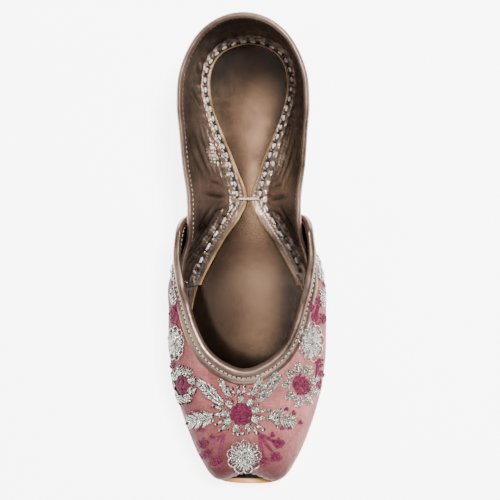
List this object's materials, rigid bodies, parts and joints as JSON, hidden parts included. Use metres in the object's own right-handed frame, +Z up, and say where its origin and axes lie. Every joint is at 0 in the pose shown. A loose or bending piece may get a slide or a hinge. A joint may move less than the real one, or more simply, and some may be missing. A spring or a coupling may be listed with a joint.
{
  "type": "mojari shoe",
  "caption": "Low slip-on mojari with a square-round toe, embroidered silk vamp, metallic leather quarter and lining, bound edges and a flat leather sole.",
  "frame": {"origin": "on the floor under the middle of the shoe's box", "axes": "+Y from the toe to the heel, +Z up, +X to the right when the shoe is seen from above with its heel away"},
  "size_m": [0.085, 0.25, 0.0521],
  "materials": {
    "sole_leather": "raw tan sole leather, matt",
    "metallic_leather": "thin metallic taupe leather, satin",
    "binding_leather": "rolled metallic rose-taupe leather, satin",
    "pink_silk": "dusty pink raw silk with a soft sheen",
    "white_cotton": "thick waxed cotton thread",
    "silver_thread": "silver bugle beads, cut wire and round beads",
    "magenta_thread": "magenta floss in knots and satin stitch",
    "coral_thread": "coral floss"
  },
  "bodies": {
    "root": {"heel_lift": "sole_leather", "outsole": "sole_leather", "insole": "metallic_leather", "quarter": "metallic_leather", "vamp": "pink_silk", "rim_binding": "binding_leather", "collar_binding": "binding_leather", "waist_tie": "white_cotton"}
  },
  "joints": []
}
